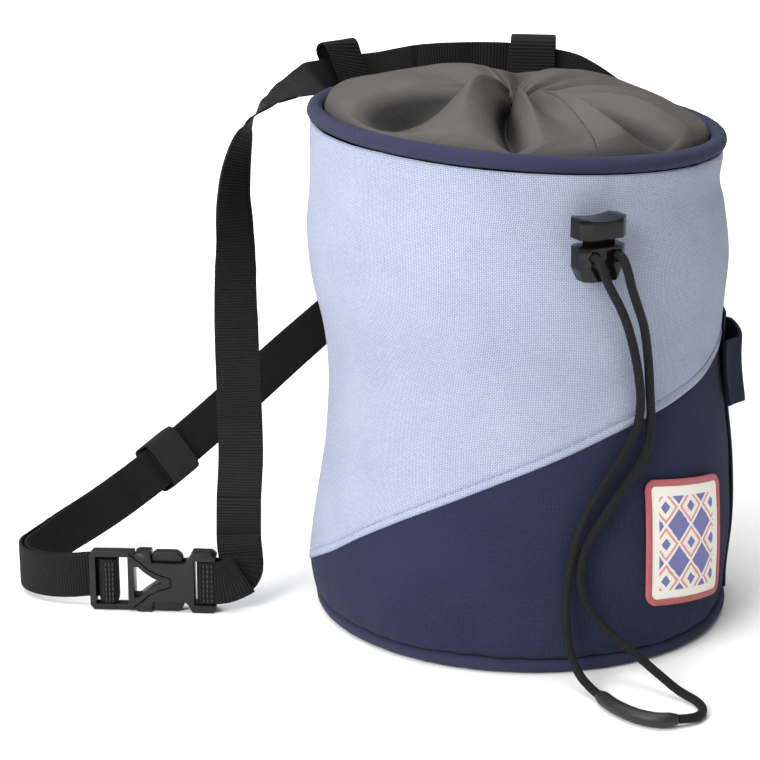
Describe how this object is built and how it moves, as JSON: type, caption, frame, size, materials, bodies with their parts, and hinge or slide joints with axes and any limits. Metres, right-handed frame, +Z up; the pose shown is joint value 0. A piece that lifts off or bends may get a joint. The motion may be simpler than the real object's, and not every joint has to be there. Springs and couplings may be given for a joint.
{
  "type": "climbing chalk bag",
  "caption": "Cylindrical fabric chalk bag with piped rim, gathered drawstring collar, cord lock, brush loop, sewn patch and a waist belt with a side-release buckle.",
  "frame": {"origin": "middle of the flat base, on the floor", "axes": "+Z up the bag to its gathered collar, -Y out of the front with the cord lock, +X to the bag's right as its front is looked at, where the brush loop is"},
  "size_m": [0.2323, 0.2283, 0.1819],
  "materials": {
    "light_fabric": "matt coarse basket weave",
    "navy_fabric": "matt canvas",
    "piping_tape": "ribbed binding tape",
    "collar_nylon": "matt thin nylon",
    "black_webbing": "ribbed webbing",
    "buckle_plastic": "satin, finely textured",
    "lock_plastic": "glossy",
    "black_cord": "braided",
    "patch_edging": "overlocked thread",
    "patch_cloth": "fine embroidered twill",
    "strip_cloth": "matt"
  },
  "bodies": {
    "bag": {"front_upper_panel": "light_fabric", "front_lower_panel": "navy_fabric", "back_panel": "navy_fabric", "base_panel": "navy_fabric", "base_piping": "piping_tape", "rim_piping": "piping_tape", "collar": "collar_nylon", "patch_border": "patch_edging", "patch_face": "patch_cloth", "side_strip": "strip_cloth", "brush_loop": "black_webbing", "belt_webbing": "black_webbing", "belt_keeper": "black_webbing", "belt_loop_left": "black_webbing", "belt_loop_right": "black_webbing", "buckle_frame": "buckle_plastic", "buckle_socket": "buckle_plastic", "cord_lock_body": "lock_plastic", "cord_right": "black_cord", "cord_left": "black_cord", "cord_sleeve": "black_cord"},
    "lock_button": {"cord_lock_button": "lock_plastic"}
  },
  "joints": [
    {"name": "cord_lock_press", "type": "slide", "parent": "bag", "child": "lock_button", "axis": [0, 0, -1], "range_m": [0, 0.0022], "stiffness_N_per_m": 800, "springref_m": -0.002}
  ]
}
